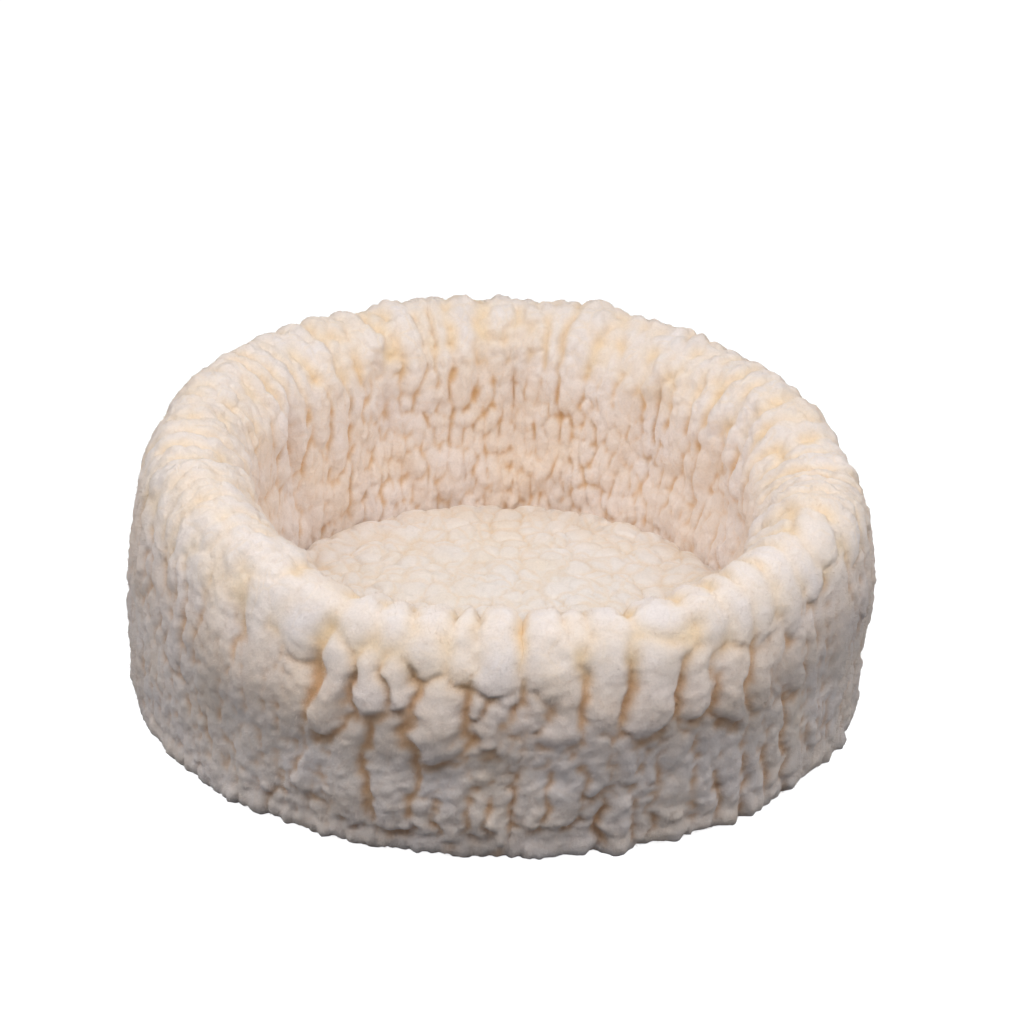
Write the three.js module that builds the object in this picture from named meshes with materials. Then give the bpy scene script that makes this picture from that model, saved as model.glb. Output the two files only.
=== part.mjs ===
// Round cat bed: a filled fleece wall sewn from two halves, a crowned floor pad inside it,
// and a plain base cloth under both.
// Millimetres, +Z up. The low side of the wall is the front, -Y, and angles run from +X
// towards +Y, so 90 is the back and 270 the front.
import * as THREE from 'three';

// Sizes of the wall
const REACH_CENTRE = { x: -2.2, y: 1.2 };  // puts the middle of the outline on the origin
const LEAN = 9;             // how far the wall leans to +X over its height
const LEAN_HEIGHT = 150;
const FOOT_TURN = 12;       // how far the outer face turns under at the ground
const FOOT_HEIGHT = 22;
const BELLY = 2;            // swell of the outer face half way up
const SOLE_WIDTH = 12;      // strip of the wall that touches the ground
const WELL_FOOT = { x: -4, y: 2, radius: 149 };  // inner foot of the wall
const WELL_FLARE = 1.5;     // how fast the inner face opens above its foot
const SEAM_ANGLES = { front: 272, back: 88 };
const PIECE_GAP = 0.3;
const WALL_STATIONS = 84;   // sections along each half

// The wall is uneven: the front is low, the back high, and the left side thicker
const WALL_SECTIONS = [
  { angle: 0, reach: 214, height: 139, thick: 62 },
  { angle: 30, reach: 216, height: 149, thick: 63 },
  { angle: 60, reach: 220, height: 161, thick: 64 },
  { angle: 90, reach: 223, height: 170, thick: 63 },
  { angle: 120, reach: 223, height: 168, thick: 63 },
  { angle: 150, reach: 221, height: 164, thick: 64 },
  { angle: 180, reach: 218, height: 158, thick: 66 },
  { angle: 210, reach: 217, height: 152, thick: 69 },
  { angle: 240, reach: 221, height: 135, thick: 66 },
  { angle: 270, reach: 226, height: 131, thick: 64 },
  { angle: 300, reach: 229, height: 136, thick: 65 },
  { angle: 330, reach: 222, height: 147, thick: 64 },
];

// Places along a section: 0 ground outside, 1 top of the outer face, 1.5 crest of the rim,
// 2 top of the inner face, 3 inner foot
const OUTER_RISE = [0.12, 0.24, 0.38, 0.54, 0.7, 0.86];
const RIM_ROLL = [1, 1.17, 1.34, 1.5, 1.66, 1.83];
const INNER_FALL = [2, 2.2, 2.45, 2.75, 3];
const FOOT_RISE = [0, 0.12, 0.36];  // shares of the foot's height

// Main creases: angle at the top and the bottom end, both ends as places along the
// section, depth at the middle and half width
const CREASES = [
  { angle: 243, endAngle: 242, top: 1.35, bottom: 0.82, depth: 8, width: 7 },
  { angle: 249, endAngle: 246, top: 1.06, bottom: 0.66, depth: 7, width: 6 },
  { angle: 246, endAngle: 239, top: 0.7, bottom: 0.36, depth: 7, width: 6 },
  { angle: 256, endAngle: 258, top: 1.18, bottom: 0.35, depth: 8, width: 6 },
  { angle: 264, endAngle: 266, top: 1.2, bottom: 0.6, depth: 7, width: 6 },
  { angle: 272, endAngle: 273, top: 1.12, bottom: 0.72, depth: 7, width: 9 },
  { angle: 280, endAngle: 281, top: 1.28, bottom: 0.78, depth: 7, width: 6 },
  { angle: 287, endAngle: 286, top: 1.2, bottom: 0.72, depth: 7, width: 6 },
  { angle: 294, endAngle: 294, top: 1.2, bottom: 0.76, depth: 8, width: 6 },
  { angle: 297, endAngle: 297, top: 1.36, bottom: 1.12, depth: 5, width: 9 },
  { angle: 303, endAngle: 304, top: 1.1, bottom: 0.62, depth: 7, width: 7 },
  { angle: 311, endAngle: 313, top: 1.02, bottom: 0.28, depth: 7, width: 6 },
  { angle: 321, endAngle: 325, top: 1.0, bottom: 0.24, depth: 8, width: 7 },
  { angle: 336, endAngle: 337, top: 1.1, bottom: 0.4, depth: 5, width: 7 },
  { angle: 345, endAngle: 346, top: 1.8, bottom: 1.45, depth: 8, width: 9 },
  { angle: 354, endAngle: 352, top: 1.15, bottom: 0.5, depth: 7, width: 7 },
  { angle: 9, endAngle: 10, top: 1.3, bottom: 0.62, depth: 7, width: 7 },
  { angle: 24, endAngle: 22, top: 1.1, bottom: 0.4, depth: 7, width: 7 },
  { angle: 39, endAngle: 40, top: 1.25, bottom: 0.7, depth: 5, width: 7 },
  { angle: 52, endAngle: 54, top: 1.05, bottom: 0.3, depth: 8, width: 7 },
  { angle: 68, endAngle: 67, top: 1.3, bottom: 0.6, depth: 7, width: 7 },
  { angle: 104, endAngle: 105, top: 1.2, bottom: 0.45, depth: 7, width: 7 },
  { angle: 119, endAngle: 117, top: 1.1, bottom: 0.62, depth: 8, width: 7 },
  { angle: 135, endAngle: 136, top: 1.3, bottom: 0.5, depth: 5, width: 7 },
  { angle: 151, endAngle: 149, top: 1.15, bottom: 0.35, depth: 7, width: 7 },
  { angle: 167, endAngle: 168, top: 1.2, bottom: 0.7, depth: 5, width: 7 },
  { angle: 208, endAngle: 206, top: 1.25, bottom: 0.8, depth: 5, width: 7 },
  { angle: 226, endAngle: 228, top: 1.4, bottom: 0.75, depth: 7, width: 7 },
  { angle: 113, endAngle: 112, top: 2.3, bottom: 1.8, depth: 5, width: 7 },
  { angle: 100, endAngle: 101, top: 2.5, bottom: 1.9, depth: 5, width: 7 },
  { angle: 76, endAngle: 75, top: 2.5, bottom: 1.85, depth: 5, width: 7 },
  { angle: 62, endAngle: 63, top: 2.4, bottom: 1.9, depth: 5, width: 7 },
];
const SEAM_CREASE = { depth: 6, width: 6 };
const CREASE_FADE = 0.14;   // length, in places along the section, over which an end runs out

// Sizes of the floor pad and the base cloth
const PAD = { x: -2.5, y: 2, radius: 145.5, edge: 9, thick: 44, crown: 3 };
const PAD_SIDES = 56;
const PAD_EDGE_STEPS = 6;
const PAD_CROWN_RINGS = 4;
const BASE_THICK = 2;
const BASE_POINTS = 72;

const fleece = { color: 0xe9ddd0, roughness: 0.95, metalness: 0 };
const padFleece = { color: 0xf0e2d6, roughness: 0.95, metalness: 0 };
const baseCloth = { color: 0xcfc4b4, roughness: 0.9, metalness: 0 };

const radians = THREE.MathUtils.degToRad;
const smooth = (value, from, to) => THREE.MathUtils.smoothstep(value, from, to);

// Smooth value of one column of the section table at any angle
function aroundWall(column, angle) {
  const count = WALL_SECTIONS.length;
  const step = 360 / count;
  const place = THREE.MathUtils.euclideanModulo(angle, 360) / step;
  const first = Math.floor(place);
  const t = place - first;
  const [before, from, to, after] = [-1, 0, 1, 2].map(
    (k) => WALL_SECTIONS[(first + k + count) % count][column],
  );
  const bend = 2 * before - 5 * from + 4 * to - after;
  const twist = -before + 3 * from - 3 * to + after;
  return 0.5 * (2 * from + (to - before) * t + bend * t ** 2 + twist * t ** 3);
}

// Signed difference of two angles in degrees
function turnBetween(angle, other) {
  return THREE.MathUtils.euclideanModulo(angle - other + 180, 360) - 180;
}

// Depth of the creases at one place of the cover
function creaseDepth(angle, place, reach) {
  let depth = 0;
  for (const crease of CREASES) {
    if (place > crease.top || place < crease.bottom) continue;
    const along = (crease.top - place) / (crease.top - crease.bottom);
    const centre = crease.angle + turnBetween(crease.endAngle, crease.angle) * along;
    const aside = radians(turnBetween(angle, centre)) * reach;
    const ends = smooth(crease.top - place, 0, CREASE_FADE)
      * smooth(place - crease.bottom, 0, CREASE_FADE);
    depth = Math.max(depth, crease.depth * ends * Math.exp(-((aside / crease.width) ** 2)));
  }
  const clearOfFeet = smooth(place, 0, 0.3) * (1 - smooth(place, 2.3, 2.8));
  for (const seam of Object.values(SEAM_ANGLES)) {
    const aside = radians(turnBetween(angle, seam)) * reach;
    const groove = SEAM_CREASE.depth * Math.exp(-((aside / SEAM_CREASE.width) ** 2));
    depth = Math.max(depth, groove * clearOfFeet);
  }
  return depth;
}

// Distance of the inner foot from the wall's centre
function wellFoot(angle) {
  const a = radians(angle);
  return WELL_FOOT.x * Math.cos(a) + WELL_FOOT.y * Math.sin(a) + WELL_FOOT.radius;
}

// Closed section of the wall at an angle, as distance from the centre and height, from the
// ground outside, over the rim, down to the inner foot and back along the underside
function wallSection(angle) {
  const reach = aroundWall('reach', angle);
  const thick = aroundWall('thick', angle);
  const roll = thick / 2;
  const shoulder = aroundWall('height', angle) - roll;
  const foot = wellFoot(angle);
  const underside = BASE_THICK + PIECE_GAP;
  const section = [];
  const add = (out, up, place, faceOut, faceUp) => {
    const depth = creaseDepth(angle, place, reach);
    section.push({ out: out - faceOut * depth, up: up - faceUp * depth });
  };
  for (const share of FOOT_RISE) {
    const drop = 1 - share;
    const turn = FOOT_TURN * (1 - Math.sqrt(1 - drop ** 2));
    const up = share * FOOT_HEIGHT;
    add(reach - turn, up, up / shoulder, 1, 0);
  }
  for (const place of OUTER_RISE) {
    const up = FOOT_HEIGHT + (shoulder - FOOT_HEIGHT) * (place - OUTER_RISE[0]);
    add(reach + BELLY * Math.sin(Math.PI * place), up, up / shoulder, 1, 0);
  }
  for (const place of RIM_ROLL) {
    const turn = Math.PI * (place - 1);
    const [faceOut, faceUp] = [Math.cos(turn), Math.sin(turn)];
    add(reach - roll + roll * faceOut, shoulder + roll * faceUp, place, faceOut, faceUp);
  }
  for (const place of INNER_FALL) {
    const fall = place - 2;
    const closing = 1 - (1 - Math.min(1, 1.25 * fall)) ** WELL_FLARE;
    const out = reach - thick + (foot - reach + thick) * closing;
    add(out, shoulder + (underside - shoulder) * fall, place, -1, 0);
  }
  const sole = reach - FOOT_TURN - SOLE_WIDTH;
  section.push({ out: sole, up: underside }, { out: sole, up: 0 });
  return section;
}

// Point in space of a section's point, moved along the wall by a small gap
function placeOnWall({ out, up }, angle, gap) {
  const a = radians(angle);
  return new THREE.Vector3(
    REACH_CENTRE.x + out * Math.cos(a) - gap * Math.sin(a) + (LEAN * up) / LEAN_HEIGHT,
    REACH_CENTRE.y + out * Math.sin(a) + gap * Math.cos(a),
    up,
  );
}

// One filled half of the wall, between two seams
function wallHalf(startAngle, endAngle) {
  const points = [];
  let loop = 0;
  for (let i = 0; i <= WALL_STATIONS; i += 1) {
    const angle = startAngle + ((endAngle - startAngle) * i) / WALL_STATIONS;
    const atEnd = Number(i === 0) - Number(i === WALL_STATIONS);
    const section = wallSection(angle);
    loop = section.length;
    points.push(...section.map((point) => placeOnWall(point, angle, (atEnd * PIECE_GAP) / 2)));
  }
  const faces = [];
  for (let i = 0; i < WALL_STATIONS; i += 1) {
    for (let j = 0; j < loop; j += 1) {
      const [a, b] = [i * loop + j, i * loop + ((j + 1) % loop)];
      faces.push([a, a + loop, b + loop], [a, b + loop, b]);
    }
  }
  for (const [angle, first] of [[startAngle, 0], [endAngle, WALL_STATIONS * loop]]) {
    const outline = wallSection(angle).map(({ out, up }) => new THREE.Vector2(out, up));
    for (const [a, b, c] of THREE.ShapeUtils.triangulateShape(outline, [])) {
      faces.push(first === 0 ? [a, b, c] : [first + a, first + c, first + b]);
    }
  }
  return closedGeometry(points, faces);
}

// Geometry of a closed body, turned so that its faces point outwards
function closedGeometry(points, faces) {
  let volume = 0;
  for (const [a, b, c] of faces) {
    volume += points[a].dot(new THREE.Vector3().crossVectors(points[b], points[c]));
  }
  const turned = volume < 0 ? faces.map(([a, b, c]) => [a, c, b]) : faces;
  const geometry = new THREE.BufferGeometry();
  geometry.setAttribute(
    'position',
    new THREE.Float32BufferAttribute(points.flatMap((p) => [p.x, p.y, p.z]), 3),
  );
  geometry.setIndex(turned.flat());
  geometry.computeVertexNormals();
  return geometry;
}

// Crowned round pad with a full edge, standing on its flat underside
function floorPad() {
  const middle = PAD.thick / 2;
  const profile = [new THREE.Vector2(0, 0)];
  for (let i = 0; i <= PAD_EDGE_STEPS; i += 1) {
    const turn = Math.PI * (i / PAD_EDGE_STEPS - 0.5);
    const out = PAD.radius - PAD.edge * (1 - Math.cos(turn));
    profile.push(new THREE.Vector2(out, middle * (1 + Math.sin(turn))));
  }
  const shoulder = PAD.radius - PAD.edge;
  for (let i = 1; i < PAD_CROWN_RINGS; i += 1) {
    const share = 1 - i / PAD_CROWN_RINGS;
    profile.push(new THREE.Vector2(shoulder * share, PAD.thick + PAD.crown * (1 - share ** 2)));
  }
  profile.push(new THREE.Vector2(0, PAD.thick + PAD.crown));
  return new THREE.LatheGeometry(profile, PAD_SIDES);
}

// Flat base cloth inside the wall's sole
function basePanel() {
  const outline = [];
  for (let i = 0; i < BASE_POINTS; i += 1) {
    const angle = (360 * i) / BASE_POINTS;
    const out = aroundWall('reach', angle) - FOOT_TURN - SOLE_WIDTH - 2 * PIECE_GAP;
    const point = placeOnWall({ out, up: 0 }, angle, 0);
    outline.push(new THREE.Vector2(point.x, point.y));
  }
  const shape = new THREE.Shape(outline);
  return new THREE.ExtrudeGeometry(shape, { depth: BASE_THICK, bevelEnabled: false });
}

function piece(name, geometry, look) {
  const mesh = new THREE.Mesh(geometry, new THREE.MeshStandardMaterial(look));
  mesh.name = name;
  return mesh;
}

const bed = new THREE.Group();
bed.add(piece('wall_left', wallHalf(SEAM_ANGLES.back, SEAM_ANGLES.front), fleece));
bed.add(piece('wall_right', wallHalf(SEAM_ANGLES.front - 360, SEAM_ANGLES.back), fleece));

const pad = piece('floor_pad', floorPad(), padFleece);
pad.rotation.x = Math.PI / 2;
pad.position.set(PAD.x, PAD.y, BASE_THICK + PIECE_GAP);
bed.add(pad);

bed.add(piece('base_panel', basePanel(), baseCloth));

export default bed;
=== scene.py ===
"""Looks of a round fleece cat bed, built around its packed construction.

The wall is two padded halves, each swollen by a cloth simulation between its seams and main
creases and then covered in the clumps of a thick pile. The floor pad is a swollen cushion of
shorter pile, and a plain woven cloth closes the underside. Sizes are in millimetres until a
mesh is made, angles are in degrees from +X towards +Y, and the low front faces -Y.
"""
import logging
import math
from contextlib import contextmanager
from dataclasses import dataclass, field
from enum import Enum
from typing import Iterator, Sequence

import bpy
import numpy as np
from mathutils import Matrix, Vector


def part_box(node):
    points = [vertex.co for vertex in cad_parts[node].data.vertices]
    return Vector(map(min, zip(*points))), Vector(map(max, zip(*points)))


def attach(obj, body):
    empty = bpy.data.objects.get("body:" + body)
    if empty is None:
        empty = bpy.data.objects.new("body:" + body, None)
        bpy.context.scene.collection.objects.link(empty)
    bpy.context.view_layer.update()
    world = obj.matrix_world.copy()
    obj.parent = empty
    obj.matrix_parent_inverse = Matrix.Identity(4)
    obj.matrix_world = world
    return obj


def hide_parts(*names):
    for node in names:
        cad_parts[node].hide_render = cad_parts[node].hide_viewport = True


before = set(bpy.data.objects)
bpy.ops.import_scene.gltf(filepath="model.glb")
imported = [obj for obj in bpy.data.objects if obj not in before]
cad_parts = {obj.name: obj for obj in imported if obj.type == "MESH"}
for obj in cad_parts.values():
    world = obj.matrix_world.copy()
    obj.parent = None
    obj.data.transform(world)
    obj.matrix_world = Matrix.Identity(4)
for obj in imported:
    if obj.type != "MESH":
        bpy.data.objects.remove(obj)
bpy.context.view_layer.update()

logger = logging.getLogger("cat_bed")

Colour = tuple[float, float, float]
Socket = bpy.types.NodeSocket

MM = 0.001
PATTERN_REACH = 222.0  # distance from the centre at which the pile's widths are true
AROUND = 2 * math.pi * PATTERN_REACH
GROUND_GAP = 0.25  # height of the wall's lowest points over the ground


@dataclass(frozen=True)
class WallSection:
    """Size of the wall's section at one angle."""

    angle: float
    reach: float
    height: float
    thick: float


@dataclass(frozen=True)
class Fold:
    """A crease or a hanging lobe of the cover, drawn from its top to its bottom end.

    Ends are places along the section: 0 ground outside, 1 top of the outer face, 1.5 crest of
    the rim, 2 top of the inner face, 3 inner foot. Size is the depth of a crease or the swell
    of a lobe, and width is half the breadth.
    """

    angle: float
    end_angle: float
    top: float
    bottom: float
    size: float
    width: float


@dataclass(frozen=True)
class Span:
    """Stretch of a measure, which comes on from start to full and goes off from fading to end."""

    start: float
    full: float
    fading: float
    end: float

    def share(self, values: np.ndarray) -> np.ndarray:
        """How far each value lies within the stretch, from 0 to 1."""
        return ease(values, self.start, self.full) * (1 - ease(values, self.fading, self.end))


class Zone(Enum):
    """Part of the wall's cover, with the place along the section where it starts."""

    OUTER = 0
    RIM = 1
    INNER = 2


# Stretches of angles around the wall
LEFT_SIDE = Span(172, 190, 222, 236)
FRONT = Span(226, 240, 322, 336)
WIDE_FRONT = Span(206, 226, 334, 350)

# Stretches of places along the section
LOOSE_COVER = Span(0.05, 0.35, 2.5, 2.85)
PILED = Span(-0.02, 0.05, 2.72, 2.9)
DRAWN_IN = Span(0.6, 1.0, 1.8, 2.1)
BROW = Span(1.35, 1.6, 1.92, 2.1)
# Belt of the outer face that painted warm bounce light tints
PAINTED_BOUNCE_BELT = Span(0.5, 0.8, 1.05, 1.3)
LIT_BELT = Span(0.75, 1.0, 1.1, 1.4)
SHADED_BELT = Span(0.22, 0.65, 0.66, 1.0)

SECTIONS = (
    WallSection(0, 214, 139, 62),
    WallSection(30, 216, 149, 63),
    WallSection(60, 220, 161, 64),
    WallSection(90, 223, 170, 63),
    WallSection(120, 223, 168, 63),
    WallSection(150, 221, 164, 64),
    WallSection(180, 218, 158, 66),
    WallSection(210, 217, 152, 69),
    WallSection(240, 221, 135, 66),
    WallSection(270, 226, 131, 64),
    WallSection(300, 229, 136, 65),
    WallSection(330, 222, 147, 64),
)

# Lobes of the front: those over the rim, those that hang below them, then the lowest ones
FRONT_LOBES = (
    Fold(236, 240, 2.1, 1.13, 4.5, 15),
    Fold(247.4, 247, 2.04, 1.26, 5, 9),
    Fold(252, 252.8, 2.12, 1.34, 4.5, 9),
    Fold(257.6, 258.6, 2.16, 1.14, 5.2, 10.5),
    Fold(263.4, 263.8, 2.05, 1.12, 5.2, 9.5),
    Fold(269, 268.2, 2.14, 1.06, 6.4, 11),
    Fold(274.0, 277.6, 2.08, 0.76, 6.4, 12),
    Fold(279.2, 280.2, 2.1, 1.3, 5, 9),
    Fold(285.4, 283.6, 2.15, 0.85, 6, 13.5),
    Fold(294, 292, 2.06, 1.36, 5, 14),
    Fold(301, 300, 2.12, 1.25, 4.5, 10),
    Fold(306, 304.8, 2.02, 1.1, 4, 8),
    Fold(311, 309, 2.14, 1.07, 4, 8),
    Fold(315.6, 314.4, 2.05, 1.0, 4, 9),
    Fold(321.4, 320, 2.1, 1.06, 4, 10),
    Fold(246.4, 245, 1.08, 0.73, 7, 10.7),
    Fold(250.2, 251, 1.14, 0.88, 6.5, 8),
    Fold(254.6, 255.5, 1.1, 0.91, 6.5, 6.5),
    Fold(261, 261.5, 1.0, 0.68, 7, 12),
    Fold(265.5, 266, 0.98, 0.88, 5, 4.5),
    Fold(268, 267.5, 0.9, 0.72, 6, 6),
    Fold(273.5, 272.2, 0.95, 0.84, 3, 6),
    Fold(290.5, 290.5, 1.14, 0.77, 6.5, 14),
    Fold(296, 296.5, 1.0, 0.78, 6, 9.7),
    Fold(302, 303, 0.97, 0.71, 6, 9.7),
    Fold(307.6, 308, 0.86, 0.72, 4.5, 8.5),
    Fold(314, 315.5, 0.8, 0.7, 4.5, 9.5),
    Fold(319.6, 322.4, 0.92, 0.26, 4.5, 10.5),
    Fold(326, 331, 1.1, 0.12, 4.5, 12),
    Fold(231, 232.5, 1.0, 0.6, 3.5, 9.7),
    Fold(239, 239.5, 0.92, 0.61, 3.5, 9.7),
    Fold(234.5, 234.5, 0.34, 0.22, 3.5, 8.7),
    Fold(244, 241.5, 0.55, 0.31, 5, 8.7),
    Fold(249, 249, 0.68, 0.2, 5.5, 10.7),
    Fold(255, 255.5, 0.7, 0.24, 5.5, 11.6),
    Fold(259.6, 259.6, 0.35, 0.16, 4.5, 5.8),
    Fold(263.6, 264, 0.49, 0.14, 5, 9.7),
    Fold(268, 267, 0.58, 0.5, 3, 8.7),
    Fold(268, 268, 0.39, 0.17, 5, 4.2),
    Fold(271, 270.6, 0.43, 0.17, 5, 5),
    Fold(273, 272.6, 0.72, 0.62, 3.5, 7.7),
    Fold(274.6, 274.6, 0.5, 0.27, 4.5, 7.7),
    Fold(278.5, 279, 0.57, 0.24, 5, 8.7),
    Fold(275, 275.5, 0.14, 0.04, 4, 6.8),
    Fold(282.5, 283, 0.69, 0.4, 5, 6.8),
    Fold(287, 287, 0.66, 0.46, 5, 5.8),
    Fold(290.6, 290.6, 0.56, 0.46, 4, 4.8),
    Fold(286.6, 287, 0.3, 0.02, 6.5, 8.7),
    Fold(290.4, 290.8, 0.26, 0.1, 4, 5.8),
    Fold(281.4, 282, 0.16, 0.02, 4, 6.8),
    Fold(294, 295.2, 0.56, 0.1, 5, 10.2),
    Fold(298.6, 300, 0.58, 0.08, 4.5, 7.7),
    Fold(303, 304.4, 0.52, 0.08, 4.5, 8.7),
    Fold(307.6, 309.4, 0.56, 0.06, 4.5, 8.2),
    Fold(311.6, 313.4, 0.58, 0.12, 4.5, 7.7),
    Fold(315.8, 318, 0.53, 0.1, 4.5, 9),
)

# Creases that cut deeper than the lobes leave open
DEEP_CREASES = (
    Fold(243, 242, 1.36, 0.82, 5, 4.5),
    Fold(249, 246, 1.04, 0.66, 3.5, 3),
    Fold(246, 239, 0.68, 0.36, 3, 3),
    Fold(256.5, 258, 1.15, 0.36, 4, 3),
    Fold(264.3, 264.8, 1.18, 0.62, 3.5, 3),
    Fold(251.6, 252, 0.82, 0.22, 2.5, 3),
    Fold(272.4, 271.6, 1.1, 0.8, 5, 4),
    Fold(276.4, 275.4, 0.98, 0.76, 5, 4),
    Fold(280.5, 281, 1.3, 0.8, 3.5, 3),
    Fold(287.2, 286.6, 1.2, 0.72, 3.5, 3),
    Fold(294.3, 294, 1.2, 0.76, 3.5, 3),
    Fold(297, 297, 1.34, 1.16, 4, 9),
    Fold(300.6, 300.2, 1.1, 0.64, 3, 3),
    Fold(306, 306.4, 1.08, 0.6, 3, 3),
    Fold(312.8, 314, 1.0, 0.26, 3, 3),
    Fold(320.3, 323, 1.0, 0.24, 3.5, 3),
    Fold(284.2, 284, 0.36, 0.0, 4, 2.5),
    Fold(345, 345.5, 1.76, 1.52, 4.5, 8),
    Fold(334.5, 336.5, 1.2, 0.4, 3, 4),
    Fold(226, 228, 1.4, 0.8, 3, 7),
    Fold(209, 206, 1.25, 0.85, 2.5, 7),
)


def ease(value: np.ndarray, start: float, end: float) -> np.ndarray:
    """Smooth step from 0 at start to 1 at end."""
    t = np.clip((value - start) / (end - start), 0.0, 1.0)
    return t * t * (3.0 - 2.0 * t)


def between(low: np.ndarray, high: np.ndarray, share: np.ndarray) -> np.ndarray:
    """Value a share of the way from low to high."""
    return low * (1 - share) + high * share


def bell(distance: np.ndarray, width: float) -> np.ndarray:
    """Smooth hump, 1 at no distance."""
    return np.exp(-((distance / width) ** 2))


def softly_higher(first: np.ndarray, second: np.ndarray, softness: float = 1.2) -> np.ndarray:
    """Higher of two heights, with a soft change from one to the other."""
    apart = first - second
    return first - apart * ease(-apart, -softness, softness)


def turn_between(angle: np.ndarray, other: float) -> np.ndarray:
    """Signed difference of two angles in degrees."""
    return (angle - other + 180.0) % 360.0 - 180.0


def on_curve(line: Sequence[np.ndarray], t: np.ndarray) -> np.ndarray:
    """Value on the smooth curve through four neighbours, a share t of the way from second to third.

    Args:
        line: values at four neighbours in a row.
        t: how far from the second to the third, from 0 to 1.

    Returns:
        The curve's value.
    """
    p0, p1, p2, p3 = line
    bend = 2 * p0 - 5 * p1 + 4 * p2 - p3
    twist = -p0 + 3 * p1 - 3 * p2 + p3
    return 0.5 * (2 * p1 + (p2 - p0) * t + bend * t**2 + twist * t**3)


def drift(x: np.ndarray, y: np.ndarray, cell: float, seed: int) -> np.ndarray:
    """Smooth random field from about -1 to 1.

    Args:
        x: place across, in the unit of cell.
        y: place along, in the unit of cell.
        cell: size of the field's bumps.
        seed: picks the field.

    Returns:
        One value for each place.
    """
    table = np.random.default_rng(seed).uniform(-1.0, 1.0, (61, 67))
    gx, gy = x / cell, y / cell
    ix, iy = np.floor(gx).astype(int), np.floor(gy).astype(int)
    tx, ty = ease(gx - ix, 0.0, 1.0), ease(gy - iy, 0.0, 1.0)
    rows, columns = table.shape

    def knot(dx: int, dy: int) -> np.ndarray:
        """Value at a corner of the lattice cell."""
        return table[(ix + dx) % rows, (iy + dy) % columns]

    return between(between(knot(0, 0), knot(1, 0), tx), between(knot(0, 1), knot(1, 1), tx), ty)


def clumps(
    x: np.ndarray, y: np.ndarray, width: float, length: float, seed: int, spread: float
) -> tuple[np.ndarray, np.ndarray, np.ndarray]:
    """Lays irregular clumps of pile on a surface.

    Args:
        x: place across, in millimetres.
        y: place along, in millimetres.
        width: usual width of a clump.
        length: usual length of a clump.
        seed: picks the layout.
        spread: how much the clumps differ in size.

    Returns:
        Distance from the clump's middle and from its border, both in clump sizes, and a random
        value of the clump.
    """
    table = np.random.default_rng(seed).uniform(0.0, 1.0, (83, 79, 4))
    rows, columns = table.shape[:2]
    stray = 0.8  # how far a clump's middle may lie from the middle of its cell
    gx, gy = x / width, y / length
    ix, iy = np.floor(gx).astype(int), np.floor(gy).astype(int)
    first = np.full(gx.shape, 9.0)
    second = np.full(gx.shape, 9.0)
    tone = np.zeros(gx.shape)
    for dx in (-1, 0, 1):
        for dy in (-1, 0, 1):
            entry = table[(ix + dx) % rows, (iy + dy) % columns]
            px = ix + dx + 0.5 + stray * (entry[..., 0] - 0.5)
            py = iy + dy + 0.5 + stray * (entry[..., 1] - 0.5)
            distance = np.hypot(gx - px, gy - py) - spread * entry[..., 2]
            nearer = distance < first
            second = np.where(nearer, first, np.minimum(second, distance))
            tone = np.where(nearer, entry[..., 3], tone)
            first = np.where(nearer, distance, first)
    return first + spread * 0.5, second - first, tone


@dataclass(frozen=True)
class ClumpLayer:
    """One layer of rounded pile clumps, in pattern millimetres."""

    width: float
    length: float
    rise: float
    seed: int
    crease: float = 0.5
    merging: float = 0.3
    spread: float = 0.3

    def heights(self, x: np.ndarray, y: np.ndarray) -> np.ndarray:
        """Height of the layer, 0 in the deepest creases.

        Args:
            x: place across, in pattern millimetres.
            y: place along, in pattern millimetres.

        Returns:
            Height at each place, in millimetres.
        """
        middle, border, tone = clumps(x, y, self.width, self.length, self.seed, self.spread)
        merged = self.merging * (0.5 + 0.5 * drift(x, y, 2.3 * self.width, self.seed + 100))
        bank = np.clip(border / self.crease + merged, 0.0, 1.0)
        crown = np.clip(1.0 - (middle / 0.75) ** 2, 0.0, 1.0)
        mixed = 0.62 * np.sqrt(1.0 - (1.0 - bank) ** 2) + 0.38 * crown
        return self.rise * mixed * (0.6 + 0.4 * tone)


def blurred(values: np.ndarray, radius: float) -> np.ndarray:
    """Gaussian blur of a grid, radius in grid steps, edges repeated.

    Args:
        values: grid of values.
        radius: radius of the blur, in grid steps.

    Returns:
        The blurred grid, of the same size.
    """
    reach = int(math.ceil(3 * radius))
    kernel = np.exp(-0.5 * (np.arange(-reach, reach + 1) / radius) ** 2)
    kernel /= kernel.sum()
    result = values
    for axis in (0, 1):
        padded = np.pad(result, [(reach, reach) if k == axis else (0, 0) for k in (0, 1)], "edge")
        result = np.apply_along_axis(lambda line: np.convolve(line, kernel, "valid"), axis, padded)
    return result


def refined(grid: np.ndarray, factor: int) -> np.ndarray:
    """Puts factor - 1 new points between the points of a grid, on smooth curves.

    Args:
        grid: values by station, row and component.
        factor: how many steps each step becomes.

    Returns:
        The finer grid, which passes through the old points.
    """
    for axis in (0, 1):
        moved = np.moveaxis(grid, axis, 0)
        before = 2 * moved[:1] - moved[1:2]
        after = 2 * moved[-1:] - moved[-2:-1]
        line = np.concatenate([before, moved, after])
        neighbours = line[:-3], line[1:-2], line[2:-1], line[3:]
        steps = [on_curve(neighbours, k / factor) for k in range(factor)]
        fine = np.stack(steps, axis=1).reshape(-1, *moved.shape[1:])
        grid = np.moveaxis(np.concatenate([fine, moved[-1:]]), 0, axis)
    return grid


def select_only(obj: bpy.types.Object) -> None:
    """Makes an object the only selected one, and the active one.

    Args:
        obj: the object to select.
    """
    bpy.ops.object.select_all(action="DESELECT")
    obj.select_set(True)
    bpy.context.view_layer.objects.active = obj


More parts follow.
